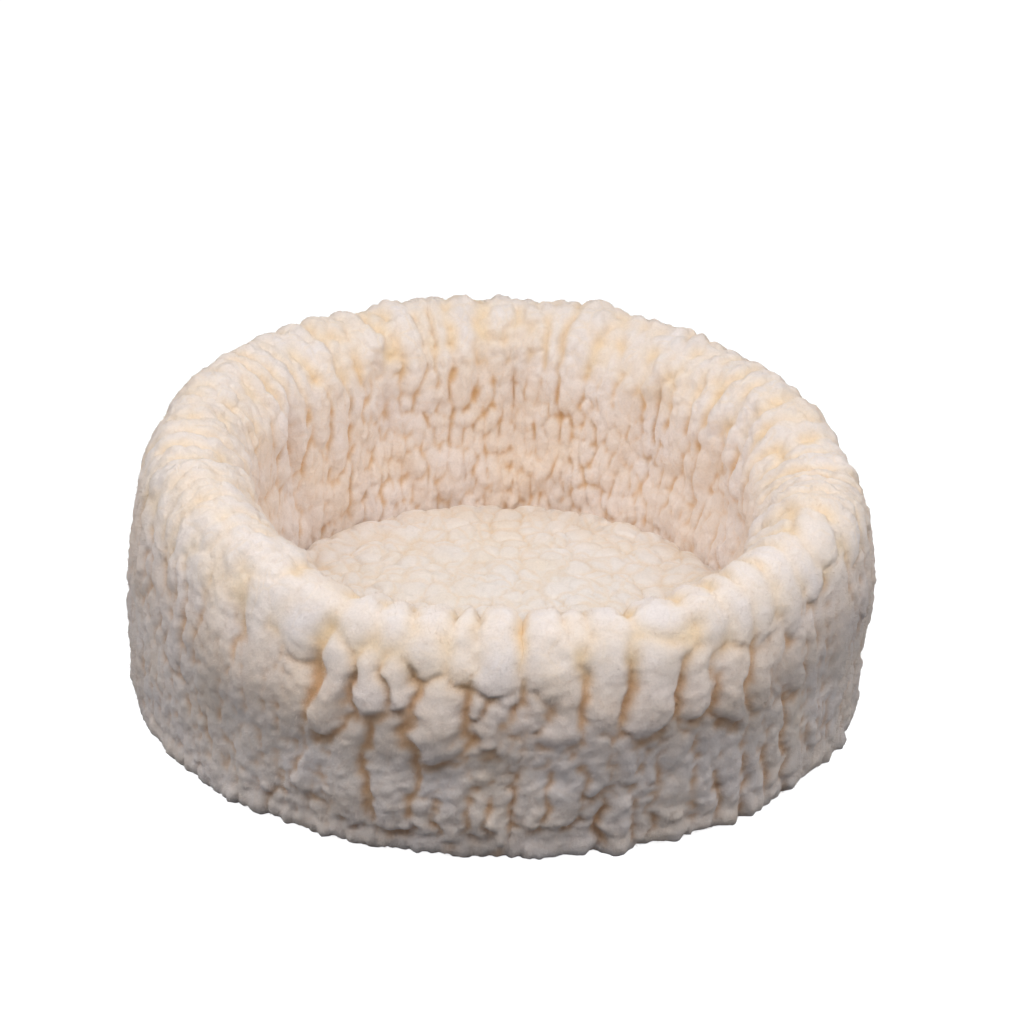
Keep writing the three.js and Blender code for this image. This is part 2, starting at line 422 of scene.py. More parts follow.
@contextmanager
def editing(obj: bpy.types.Object) -> Iterator[None]:
    """Edit mode on one object, with its whole mesh selected at the start.

    Args:
        obj: the mesh object to edit.

    Returns:
        A context that leaves edit mode when it ends.
    """
    select_only(obj)
    bpy.ops.object.mode_set(mode="EDIT")
    bpy.ops.mesh.select_all(action="SELECT")
    yield
    bpy.ops.object.mode_set(mode="OBJECT")


def linked(name: str, data: bpy.types.ID) -> bpy.types.Object:
    """Puts a mesh, a light or a camera into the scene as a new object at the origin.

    Args:
        name: name of the object.
        data: what the object shows.

    Returns:
        The new object.
    """
    obj = bpy.data.objects.new(name, data)
    bpy.context.collection.objects.link(obj)
    return obj


def column(items: Sequence[object], name: str, parts: int = 1, kind: type = np.float32) -> np.ndarray:
    """Reads one property of all the items of a mesh's list.

    Args:
        items: points, edges, corners or the like.
        name: name of the property.
        parts: how many numbers the property has.
        kind: type of the numbers.

    Returns:
        One number, or one row of numbers, for each item.
    """
    flat = np.empty(len(items) * parts, dtype=kind)
    items.foreach_get(name, flat)
    return flat.reshape(-1, parts) if parts > 1 else flat


def mesh_points(obj: bpy.types.Object) -> np.ndarray:
    """Points of a mesh object as an array, in metres."""
    return column(obj.data.vertices, "co", 3).astype(float)


def mesh_normals(obj: bpy.types.Object) -> np.ndarray:
    """Normals of a mesh object's points."""
    return column(obj.data.vertex_normals, "vector", 3).astype(float)


def set_mesh_points(obj: bpy.types.Object, points: np.ndarray) -> None:
    """Moves the points of a mesh object."""
    obj.data.vertices.foreach_set("co", np.ascontiguousarray(points, dtype=np.float32).ravel())
    obj.data.update()


def add_point_values(obj: bpy.types.Object, name: str, values: np.ndarray) -> None:
    """Stores one number, or one vector, for each point where a material can read it.

    Args:
        obj: the mesh object.
        name: name of the values.
        values: one number or one row of three for each point.
    """
    vector = values.shape[-1] == 3
    attribute = obj.data.attributes.new(name, "FLOAT_VECTOR" if vector else "FLOAT", "POINT")
    attribute.data.foreach_set("vector" if vector else "value", values.astype(np.float32).ravel())


def unit(vectors: np.ndarray, least: float = 1e-9) -> np.ndarray:
    """Vectors brought to a length of 1."""
    return vectors / np.maximum(np.linalg.norm(vectors, axis=-1, keepdims=True), least)


@dataclass(frozen=True)
class PressureTest:
    """Cloth simulation that swells a cover under its filling."""

    pressure: float = 4.0
    frames: int = 20
    stiffness: float = 12.0
    bending: float = 3.0
    spare: float = 0.012
    cap: float = 6.0

    def swell(self, obj: bpy.types.Object, hold: np.ndarray) -> None:
        """Swells a cover and applies the result.

        Args:
            obj: the cover, its normals facing out.
            hold: how firmly each point is held, from 0 to 1.
        """
        start = mesh_points(obj)
        group = obj.vertex_groups.new(name="held")
        for level in np.unique(np.round(hold, 2)):
            chosen = np.nonzero(np.abs(hold - level) < 0.006)[0].tolist()
            group.add(chosen, float(level), "REPLACE")
        select_only(obj)
        cloth = obj.modifiers.new("filling", "CLOTH")
        for name, value in (
            ("use_pressure", True),
            ("uniform_pressure_force", self.pressure),
            ("vertex_group_mass", group.name),
            ("tension_stiffness", self.stiffness),
            ("compression_stiffness", self.stiffness),
            ("shear_stiffness", self.stiffness / 3),
            ("bending_stiffness", self.bending),
            ("shrink_min", -self.spare),
            ("quality", 6),
        ):
            setattr(cloth.settings, name, value)
        cloth.settings.effector_weights.gravity = 0.0
        cloth.collision_settings.use_collision = False
        cloth.point_cache.frame_start = 1
        cloth.point_cache.frame_end = self.frames
        for number in range(1, self.frames + 1):
            bpy.context.scene.frame_set(number)
        bpy.ops.object.modifier_apply(modifier=cloth.name)
        bpy.context.scene.frame_set(1)
        moved = mesh_points(obj) - start
        length = np.linalg.norm(moved, axis=1, keepdims=True)
        limit = self.cap * MM
        eased = limit * np.tanh(length / limit)
        set_mesh_points(obj, start + moved * eased / np.maximum(length, 1e-9))
        logger.info("%s swelled by up to %.1f mm", obj.name, float(eased.max()) / MM)


@dataclass(frozen=True)
class WallForm:
    """Smooth shape of the ring wall, before its creases and its pile."""

    centre: tuple[float, float] = (-2.2, 1.2)
    lean: float = 9.0
    lean_height: float = 150.0
    foot_turn: float = 12.0
    foot_height: float = 22.0
    belly: float = 2.0
    sole_width: float = 12.0
    well_centre: tuple[float, float] = (-4.0, 2.0)
    well_radius: float = 149.0
    well_flare: float = 1.5
    underside: float = 2.3

    def around(self, column_name: str, angles: np.ndarray) -> np.ndarray:
        """Smooth value of one column of the section table at any angles.

        Args:
            column_name: the column.
            angles: the angles.

        Returns:
            One value for each angle.
        """
        values = np.array([getattr(section, column_name) for section in SECTIONS])
        count = len(values)
        place = (np.asarray(angles, float) % 360.0) * count / 360.0
        first = np.floor(place).astype(int)
        return on_curve([values[(first + k) % count] for k in (-1, 0, 1, 2)], place - first)

    def sole(self, angles: np.ndarray) -> np.ndarray:
        """Distance from the centre of the inner edge of the wall's turned-in sole."""
        return self.around("reach", angles) - self.foot_turn - self.sole_width

    def well_foot(self, angles: np.ndarray) -> np.ndarray:
        """Distance of the inner foot from the wall's centre."""
        a = np.radians(angles)
        return self.well_centre[0] * np.cos(a) + self.well_centre[1] * np.sin(a) + self.well_radius

    def outline(self, angles: np.ndarray, places: np.ndarray) -> tuple[np.ndarray, np.ndarray]:
        """Distance from the centre and height of the cover.

        Args:
            angles: angle of each point.
            places: place of each point along the section, from 0 to 3.

        Returns:
            Distance and height of each point.
        """
        reach, thick = self.around("reach", angles), self.around("thick", angles)
        roll = thick / 2
        shoulder = self.around("height", angles) - roll
        up = shoulder * np.clip(places, 0, 1)
        drop = np.clip(1 - up / self.foot_height, 0, 1)
        turn = self.foot_turn * (1 - np.sqrt(1 - drop**2))
        outer = reach - turn + self.belly * np.sin(np.pi * np.clip(places, 0, 1))
        around_rim = np.pi * (np.clip(places, 1, 2) - 1)
        rim = reach - roll + roll * np.cos(around_rim)
        fall = np.clip(places, 2, 3) - 2
        closing = 1 - (1 - np.minimum(1, 1.25 * fall)) ** self.well_flare
        inner = reach - thick + (self.well_foot(angles) - reach + thick) * closing
        out = np.where(places <= 1, outer, np.where(places <= 2, rim, inner))
        up = np.where(places > 1, shoulder + roll * np.sin(around_rim), up)
        return out, np.where(places > 2, shoulder + (self.underside - shoulder) * fall, up)

    def cover(self, angles: np.ndarray, places: np.ndarray) -> np.ndarray:
        """Points of the smooth cover, in millimetres."""
        return self.placed(angles, *self.outline(angles, places))

    def normals(self, angles: np.ndarray, places: np.ndarray) -> np.ndarray:
        """Outward unit normals of the smooth cover.

        Args:
            angles: angle of each point.
            places: place of each point along the section.

        Returns:
            One vector for each point.
        """
        turn, rise = 0.25, 0.01
        across = self.cover(angles + turn, places) - self.cover(angles - turn, places)
        low, high = np.maximum(places - rise, 0.0), np.minimum(places + rise, 3.0)
        return unit(np.cross(across, self.cover(angles, high) - self.cover(angles, low)))

    def placed(self, angles: np.ndarray, out: np.ndarray, up: np.ndarray) -> np.ndarray:
        """Points in space of distances and heights, in millimetres.

        Args:
            angles: angle of each point.
            out: distance from the wall's centre.
            up: height over the ground.

        Returns:
            One point for each angle.
        """
        a = np.radians(angles)
        x = self.centre[0] + out * np.cos(a) + self.lean * up / self.lean_height
        y = self.centre[1] + out * np.sin(a)
        return np.stack([x, y, up + 0 * x], axis=-1)


@dataclass(frozen=True)
class PileRelief:
    """Heights of the pile on the wall's cover, in millimetres."""

    seam_angles: tuple[float, float] = (88.0, 272.0)
    droop: float = 0.12
    girths: tuple[float, float, float] = (122.0, 102.0, 122.0)
    shape_seed: int = 41
    outer_nubs: ClumpLayer = ClumpLayer(11, 22, 3.2, 11, crease=0.6, merging=0.15)
    outer_fine: ClumpLayer = ClumpLayer(7, 8.5, 3.1, 12, crease=0.55, merging=0.15)
    side_nubs: ClumpLayer = ClumpLayer(10, 14, 4.6, 15, crease=0.55, merging=0.2)
    side_fine: ClumpLayer = ClumpLayer(6.5, 7.5, 2.2, 16, crease=0.6, merging=0.2)
    outer_lumps: ClumpLayer = ClumpLayer(17, 48, 6.4, 32, crease=0.4, merging=0.1)
    foot_nubs: ClumpLayer = ClumpLayer(9, 12, 2.8, 31, crease=0.6, merging=0.1)
    rim_nubs: ClumpLayer = ClumpLayer(13, 14, 6.6, 17, crease=0.6, merging=0.2)
    rim_fine: ClumpLayer = ClumpLayer(6.5, 7, 1.8, 14, crease=0.7, merging=0.3)
    inner_columns: ClumpLayer = ClumpLayer(19, 60, 4.8, 18, crease=0.35, merging=0.2)
    inner_nubs: ClumpLayer = ClumpLayer(11, 13, 6.0, 13, crease=0.45, merging=0.2)
    inner_fine: ClumpLayer = ClumpLayer(6.5, 6.5, 0.9, 19, crease=0.7, merging=0.2)
    fluff: ClumpLayer = ClumpLayer(4.2, 4.6, 0.8, 20, merging=0.3)

    def girth(self, places: np.ndarray) -> np.ndarray:
        """Length along the section up to each place.

        Args:
            places: places along the section.

        Returns:
            Lengths in millimetres.
        """
        outer, rim, inner = self.girths
        first = outer * np.clip(places, 0, 1)
        return first + rim * np.clip(places - 1, 0, 1) + inner * np.clip(places - 2, 0, 1)

    def seam_sway(self, seam: float, places: np.ndarray) -> np.ndarray:
        """Degrees by which the pile hides a seam to one side or the other.

        Args:
            seam: angle of the seam.
            places: places along the section.

        Returns:
            One angle for each place.
        """
        y = self.girth(places)
        x = np.full(y.shape, seam % 360.0)
        sway = 2.4 * drift(x, y, 19.0, 7) + 1.0 * drift(x, y, 7.0, 8)
        return np.degrees(sway / PATTERN_REACH)

    def side_lobes(self) -> tuple[Fold, ...]:
        """Lobes that hang down outside on the sides and the back.

        Returns:
            The lobes, in pairs of an upper and a lower one.
        """
        rng = np.random.default_rng(self.shape_seed)
        lobes = []
        angle, last = -24.0, 227.0
        while angle < last:
            swell = rng.uniform(2.4, 3.8) if 176.0 < angle else rng.uniform(4.0, 6.0)
            width, top = rng.uniform(7.5, 12.0), rng.uniform(0.94, 1.28)
            split, lean = rng.uniform(0.5, 0.8), rng.uniform(-1.5, 1.5)
            lobes.append(Fold(angle, angle + lean, top, split, swell, width))
            low = angle + rng.uniform(-2.0, 2.0)
            foot = rng.uniform(0.06, 0.2)
            lobes.append(Fold(low, low + lean, split - 0.16, foot, 0.8 * swell, 0.85 * width))
            angle += math.degrees(1.8 * width / PATTERN_REACH) * rng.uniform(0.9, 1.15)
        return tuple(lobes)

    def rim_lobes(self) -> tuple[Fold, ...]:
        """Puffs that lie across the rim and hang over the inner face, except at the front.

        Returns:
            The lobes, in the order of their angles.
        """
        rng = np.random.default_rng(self.shape_seed + 2)
        lobes = []
        angle, last = -32.0, 229.0
        while angle < last:
            left = angle > 165.0
            width = rng.uniform(7.5, 13.0) + (3.0 if left else 0.0)
            swell = rng.uniform(3.0, 4.8) if left else rng.uniform(4.2, 6.2)
            lean, tip = rng.uniform(-3.0, 3.0), rng.uniform(1.96, 2.26)
            foot, split = rng.uniform(0.98, 1.36), rng.uniform(1.5, 1.85)
            if rng.uniform() < 0.55:
                lobes.append(Fold(angle, angle + lean, foot, tip, swell, width))
            else:
                low = angle + rng.uniform(-2.0, 2.0)
                lobes.append(Fold(angle, angle + lean, split - 0.1, foot, swell, width))
                lobes.append(Fold(low, low + lean, split + 0.12, tip, swell, 0.85 * width))
            angle += math.degrees(1.85 * width / PATTERN_REACH) * rng.uniform(0.85, 1.35)
        return tuple(lobes)

    def lobes(self, x: np.ndarray, y: np.ndarray) -> tuple[np.ndarray, np.ndarray]:
        """Lobes that meet in creases, each standing out most at its lower end.

        Args:
            x: place around, in pattern millimetres.
            y: place along the section, in millimetres.

        Returns:
            Height of the lobes, and how much of each place they cover, from 0 to 1.
        """
        first, second = np.full(x.shape, 9.0), np.full(x.shape, 9.0)
        swell = np.zeros(x.shape)
        for fold in FRONT_LOBES + self.side_lobes() + self.rim_lobes():
            x0 = math.radians(fold.angle) * PATTERN_REACH
            lx = math.radians(fold.end_angle - fold.angle) * PATTERN_REACH
            y0, y1 = (float(self.girth(np.array(place))) for place in (fold.top, fold.bottom))
            ly = y1 - y0
            dx = (x - x0 + AROUND / 2) % AROUND - AROUND / 2
            dy = y - y0
            near = np.abs(dx - lx / 2) < 3 * fold.width + abs(lx) / 2
            near &= np.abs(dy - ly / 2) < 3 * fold.width + abs(ly) / 2
            dx, dy = dx[near], dy[near]
            along = np.clip((dx * lx + dy * ly) / (lx * lx + ly * ly), 0.0, 1.0)
            taper = fold.width * (1.08 - 0.16 * along)
            aside = np.hypot(dx - along * lx, dy - along * ly) / taper
            nearer = aside < first[near]
            second[near] = np.where(nearer, first[near], np.minimum(second[near], aside))
            hangs_from_rim = fold.top > 1.5
            rise = fold.size * (0.7 + 0.22 * ease(along, 0.0, 0.9)) * (0.92 if hangs_from_rim else 1.4)
            swell[near] = np.where(nearer, rise, swell[near])
            first[near] = np.minimum(first[near], aside)
        joined = 0.3 * drift(x, y, 16.0, 51)
        bank = np.clip((second - first) / 1.1 + joined, 0.0, 1.0)
        dome = np.clip(1.0 - (first / 1.35) ** 2, 0.0, 1.0) ** 0.75
        height = swell * dome * (0.15 + 0.85 * np.sqrt(1.0 - (1.0 - bank) ** 2))
        return height, 1.0 - ease(first, 0.9, 1.35)

    def creases(self, angle: np.ndarray, place: np.ndarray, sway: np.ndarray) -> np.ndarray:
        """Depth of the listed creases and of the two seams.

        Args:
            angle: angle of each point.
            place: place of each point along the section.
            sway: how far the listed creases move aside, in millimetres.

        Returns:
            Depth at each point, in millimetres.
        """
        depth = np.zeros(angle.shape)
        for fold in DEEP_CREASES:
            span = fold.top - fold.bottom
            along = np.clip((fold.top - place) / span, 0, 1)
            centre = fold.angle + (fold.end_angle - fold.angle) * along
            aside = np.radians(turn_between(angle, centre)) * PATTERN_REACH + sway
            ends = ease(fold.top - place, -0.06, 0.12) * ease(place - fold.bottom, -0.06, 0.12)
            depth = np.maximum(depth, 0.7 * fold.size * ends * bell(aside, fold.width))
        for seam in self.seam_angles:
            centre = seam + self.seam_sway(seam, place)
            aside = np.radians(turn_between(angle, centre)) * PATTERN_REACH
            at_front = seam > 180
            notch = 5.0 * bell(place - 1.42, 0.16) if at_front else 0.0
            groove = (notch + 1.6) * bell(aside, 3.2)
            depth = np.maximum(depth, groove * ease(place, 0.0, 0.25))
        return depth

    def heights(self, angle: np.ndarray, place: np.ndarray) -> tuple[np.ndarray, np.ndarray]:
        """Height of the pile, and how far it hangs down.

        Args:
            angle: angle of each point of the cover.
            place: place of each point along the section.

        Returns:
            Height and hang of each point, in millimetres.
        """
        turned = angle % 360
        side, front = LEFT_SIDE.share(turned), FRONT.share(turned)
        inner, outer = ease(place, 1.92, 2.12), 1.0 - ease(place, 1.05, 1.45)
        rim = 1.0 - inner - outer

        # Pattern places, swayed so that no row of clumps runs straight
        x, y = np.radians(angle) * PATTERN_REACH % AROUND, self.girth(place)
        sway_x = 3.0 * drift(x, y, 23.0, 1) + 2.4 * drift(x, y, 10.0, 2)
        sway_y = 4.0 * drift(x, y, 27.0, 3) + 2.4 * drift(x, y, 10.0, 4)
        ragged_x = 1.3 * drift(x, y, 5.5, 9) + 1.4 * drift(x, y, 10.0, 33)
        ragged_y = 1.5 * drift(x, y, 6.5, 10)
        wx, wy = x + sway_x, y + sway_y

        # Hanging lobes, with plainer lumps between them
        lobes, covered = self.lobes(wx + ragged_x, y + 1.2 * sway_y + ragged_y)
        lumps = self.outer_lumps.heights(wx + ragged_x, wy + ragged_y) * (1 - ease(place, 0.85, 1.15))
        lobes = softly_higher(lobes, lumps * (1 - 0.5 * side - 0.45 * front))

        # Outer face and foot
        cover = between(self.outer_nubs.heights(wx, wy), self.side_nubs.heights(wx, wy), side)
        fine = between(self.outer_fine.heights(wx, wy), self.side_fine.heights(wx, wy), side)
        fine = fine * (1 - ease(place, 0.7, 1.1) * 0.7)
        bare = 0.75 - 0.5 * side
        height = outer * (lobes + cover * (1 - covered * bare) * (1 - 0.3 * front) + fine)
        height = height + (1 - ease(place, 0.12, 0.34)) * self.foot_nubs.heights(wx, wy)

        # Rim, with a flatter brow over the front
        brow = front * BROW.share(place)
        rounded = 1 - 0.45 * front * (1 - ease(place, 1.3, 1.5)) + 0.8 * brow
        rounded = rounded * (0.9 + 0.1 * front)
        rim_cover = self.rim_nubs.heights(wx, wy) + self.rim_fine.heights(wx, wy)
        rim_cover = rim_cover * (1 - 0.3 * covered) * (1 - 0.5 * front)
        height = height + rim * (lobes * rounded + 1.15 * rim_cover) - 4.2 * brow
        height = height - 4.0 * bell(turn_between(angle, 10.0), 20.0) * DRAWN_IN.share(place)

        # Inner face, with its deepest pile at the back
        back = 0.55 + 0.45 * bell(turn_between(angle, 92.0), 48.0)
        columns = self.inner_columns.heights(x + 2.0 * sway_x, y)
        inner_cover = back * (columns + self.inner_nubs.heights(wx, wy) + self.inner_fine.heights(wx, wy))
        height = height + inner * np.maximum(inner_cover, lobes + 0.6 * inner_cover)

        # Loose surface of the pile, and slow swells of the whole cover
        height = height + self.fluff.heights(x, y) + 0.3 * drift(x, y, 2.6, 5)
        height = height + 1.2 * drift(x, y, 46.0, 6) * (1 - inner)
        fade = PILED.share(place)
        height = (height - self.creases(angle, place, sway_x + ragged_x)) * fade
        return height, self.droop * lobes * (outer + 0.6 * inner) * fade


@dataclass(frozen=True)
class PileFuzz:
    """Loose fibre ends that stand out of a fleece, each a thin blade."""

    count: int
    seed: int
    length: float = 2.8
    width: float = 0.15
    lift: float = 0.7
    rooted: float = 0.4
    ground_gap: float = 0.2
    largest_face: float = 30.0
    lowest_root: float = 2.0

    def build(self, name: str, body: bpy.types.Object, finish: bpy.types.Material) -> bpy.types.Object:
        """Scatters the fibres on the pile side of a body.

        Args:
            name: name of the new piece.
            body: the piece that the fibres grow on.
            finish: the fibres' material.

        Returns:
            The piece that holds all the fibres.
        """
        mesh = body.data
        points, normals = mesh_points(body) / MM, mesh_normals(body)
        mesh.calc_loop_triangles()
        corners = column(mesh.loop_triangles, "vertices", 3, np.int32)
        a, b, c = (points[corners[:, k]] for k in range(3))
        area = np.linalg.norm(np.cross(b - a, c - a), axis=1)
        low = np.minimum(a[:, 2], c[:, 2]) < self.lowest_root
        area[(area > 2 * self.largest_face) | low] = 0.0
        rng = np.random.default_rng(self.seed)
        chosen = corners[rng.choice(len(area), self.count, p=area / area.sum())]
        share = rng.dirichlet((1.0, 1.0, 1.0), self.count)[..., None]
        root = (points[chosen] * share).sum(axis=1)
        upright = (normals[chosen] * share).sum(axis=1)
        stand = self.lift * upright + rng.normal(size=(self.count, 3))
        stand /= np.linalg.norm(stand, axis=1, keepdims=True)
        below = np.minimum((stand * upright).sum(axis=1, keepdims=True) - 0.1, 0.0)
        stand -= below * upright
        side = 0.5 * self.width * unit(np.cross(stand, upright), 1e-6)
        reach = self.length * rng.uniform(0.5, 1.25, (self.count, 1))
        start = root - self.rooted * stand
        blades = np.stack([start - side, start + side, root + reach * stand], axis=1)
        blades[..., 2] = np.maximum(blades[..., 2], self.ground_gap)
        fibres = bpy.data.meshes.new(name)
        faces = np.arange(3 * self.count).reshape(-1, 3)
        fibres.from_pydata((blades.reshape(-1, 3) * MM).tolist(), [], faces.tolist())
        piece = linked(name, fibres)
        # The fibres copy the body's crease colour share, painted shade and glow included
        for value in ("hollow", "rim", "inner"):
            source = column(mesh.attributes[value].data, "value")
            held = (source[chosen] * share[..., 0]).sum(axis=1)
            add_point_values(piece, value, np.repeat(held, 3))
        piece.data.materials.append(finish)
        return piece


def opaque(colour: Colour) -> tuple[float, float, float, float]:
    """Colour with a full alpha, as a colour socket takes it."""
    return (*colour, 1.0)


@dataclass
class NodeBench:
    """Puts nodes into one tree and joins them up."""

    tree: bpy.types.NodeTree

    def add(
        self, kind: str, inputs: dict[object, object] | None = None, **settings: object
    ) -> bpy.types.Node:
        """Adds a node.

        Args:
            kind: type of the node.
            inputs: socket, number or colour for each input, by name or number.
            settings: properties of the node.

        Returns:
            The new node.
        """
        node = self.tree.nodes.new(kind)
        for name, value in settings.items():
            setattr(node, name, value)
        for key, value in (inputs or {}).items():
            self.feed(node.inputs[key], value)
        return node

    def feed(self, socket: Socket, value: object) -> None:
        """Joins an input to a socket, or gives it a number or a colour.

        Args:
            socket: the input.
            value: output to join it to, or its fixed value.
        """
        if isinstance(value, Socket):
            self.tree.links.new(value, socket)
        else:
            socket.default_value = value

    def held(self, name: str) -> Socket:
        """Value that the mesh holds for each point."""
        return self.add("ShaderNodeAttribute", attribute_name=name).outputs["Fac"]

    def maths(self, operation: str, first: object, second: object) -> Socket:
        """One step of arithmetic."""
        return self.add("ShaderNodeMath", {0: first, 1: second}, operation=operation).outputs[0]

    def vector(self, operation: str, *values: object) -> Socket:
        """One step of vector arithmetic."""
        return self.add("ShaderNodeVectorMath", dict(enumerate(values)), operation=operation).outputs[0]

    def mixed(self, amount: object, low: object, high: object, blend: str = "MIX") -> Socket:
        """Mix of two colours."""
        inputs = {0: amount, 6: low, 7: high}
        return self.add("ShaderNodeMix", inputs, data_type="RGBA", blend_type=blend).outputs[2]

    def ranged(
        self, value: Socket, old: tuple[float, float], new: tuple[float, float], kind: str = "SMOOTHSTEP"
    ) -> Socket:
        """Change from one range to another.

        Args:
            value: what changes.
            old: lowest and highest value given.
            new: the values that they become.
            kind: interpolation between them.

        Returns:
            Output that gives the new value.
        """
        inputs = dict(zip(("From Min", "From Max", "To Min", "To Max"), (*old, *new)))
        inputs["Value"] = value
        return self.add("ShaderNodeMapRange", inputs, interpolation_type=kind).outputs["Result"]

    def noise(self, place: Socket, size: Socket, detail: float, rough: float) -> Socket:
        """Noise of a given grain size.

        Args:
            place: where each point lies.
            size: size of the grains, in metres.
            detail: how many finer layers there are.
            rough: how strong the finer layers are.

        Returns:
            Output that gives the noise, from 0 to 1.
        """
        scale = self.maths("DIVIDE", 1.0, size)
        inputs = {"Vector": place, "Scale": scale, "Detail": detail, "Roughness": rough}
        return self.add("ShaderNodeTexNoise", inputs).outputs["Fac"]

    def show_mix(self, share: object, first: bpy.types.Node, second: bpy.types.Node) -> None:
        """Gives a material's surface a mix of two shaders.

        Args:
            share: share of the second shader.
            first: one shader.
            second: the other shader.
        """
        inputs = {0: share, 1: first.outputs[0], 2: second.outputs[0]}
        mix = self.add("ShaderNodeMixShader", inputs)
        self.feed(self.tree.nodes["Material Output"].inputs["Surface"], mix.outputs[0])


def new_material(name: str) -> tuple[bpy.types.Material, NodeBench, bpy.types.Node]:
    """Makes a node material, and gives its bench and its Principled shader too.

    Args:
        name: name of the material.

    Returns:
        The material, its bench and its Principled shader.
    """
    material = bpy.data.materials.new(name)
    material.use_nodes = True
    return material, NodeBench(material.node_tree), material.node_tree.nodes["Principled BSDF"]


@dataclass(frozen=True)
class FleeceFinish:
    """Look of a pile fleece: whiter tips over warmer, deeper pile; the crease colours are partly that
    pile's own colour and partly painted shade, with a painted glow of scattered light in the rim's
    creases.

    Cells is the size of the smallest clumps. Through is the share of light that passes the
    fibres, for the loose ends only, which are too thin to show a bump.
    """

    name: str
    tips: Colour
    outer_depth_and_painted_shade: Colour
    rim_depth_and_painted_glow: Colour
    inner_depth_and_painted_shade: Colour
    cells: tuple[float, float, float]
    through: float = 0.0
    fibre_length: float = 1.3
    patch_size: float = 34.0
    bump: float = 0.8

    def build(self) -> bpy.types.Material:
        """Makes the material.

        Returns:
            The material.
        """
        material, bench, shader = new_material(self.name)
        inputs = {
            "Place": bench.add("ShaderNodeTexCoord").outputs["Object"],
            "Lumpy": bench.held("lumpy"),
            "Fibre length": self.fibre_length * MM,
            "Patch size": self.patch_size * MM,
            "Cell size": [size * MM for size in self.cells],
        }
        fibre = bench.add("ShaderNodeGroup", inputs, node_tree=fibre_group()).outputs
        # Crease colours: partly the deeper pile's own warmer colour, partly painted shade, and on the rim
        # a painted glow of scattered light
        depth = bench.mixed(bench.held("rim"), opaque(self.outer_depth_and_painted_shade), opaque(self.rim_depth_and_painted_glow))
        depth = bench.mixed(bench.held("inner"), depth, opaque(self.inner_depth_and_painted_shade))
        # The smallest clumps' creases add their own painted crease shade to the crease colour's share
        shade_and_depth_share = bench.maths("MAXIMUM", bench.held("hollow"), fibre["Crease"])
        colour = bench.mixed(shade_and_depth_share, opaque(self.tips), depth)
        colour = bench.mixed(1.0, colour, fibre["Tone"], "MULTIPLY")
        for name, value in (
            ("Base Color", colour),
            ("Roughness", 1.0),
            ("Specular IOR Level", 0.1),
            ("Sheen Weight", 0.3),
            ("Sheen Roughness", 0.6),
            ("Sheen Tint", opaque((1.0, 0.96, 0.92))),
        ):
            bench.feed(shader.inputs[name], value)
        if self.through > 0:
            behind = bench.add("ShaderNodeBsdfTranslucent", {"Color": colour})
            bench.show_mix(self.through, shader, behind)
        else:
            bench.feed(shader.inputs["Normal"], self.soft_normal(bench, fibre["Height"]))
        return material

    def soft_normal(self, bench: NodeBench, height: Socket) -> Socket:
        """Normal of the fibre bump, leaned towards the softened pile that the mesh holds.

        Args:
            bench: bench of the material.
            height: height of the fibres.

        Returns:
            Output that gives the normal.
        """
        bump = bench.add("ShaderNodeBump", {"Strength": self.bump, "Distance": 1.0, "Height": height})
        soft = bench.add("ShaderNodeAttribute", attribute_name="soft").outputs["Vector"]
        return bench.vector("NORMALIZE", bench.vector("ADD", soft, bump.outputs["Normal"]))


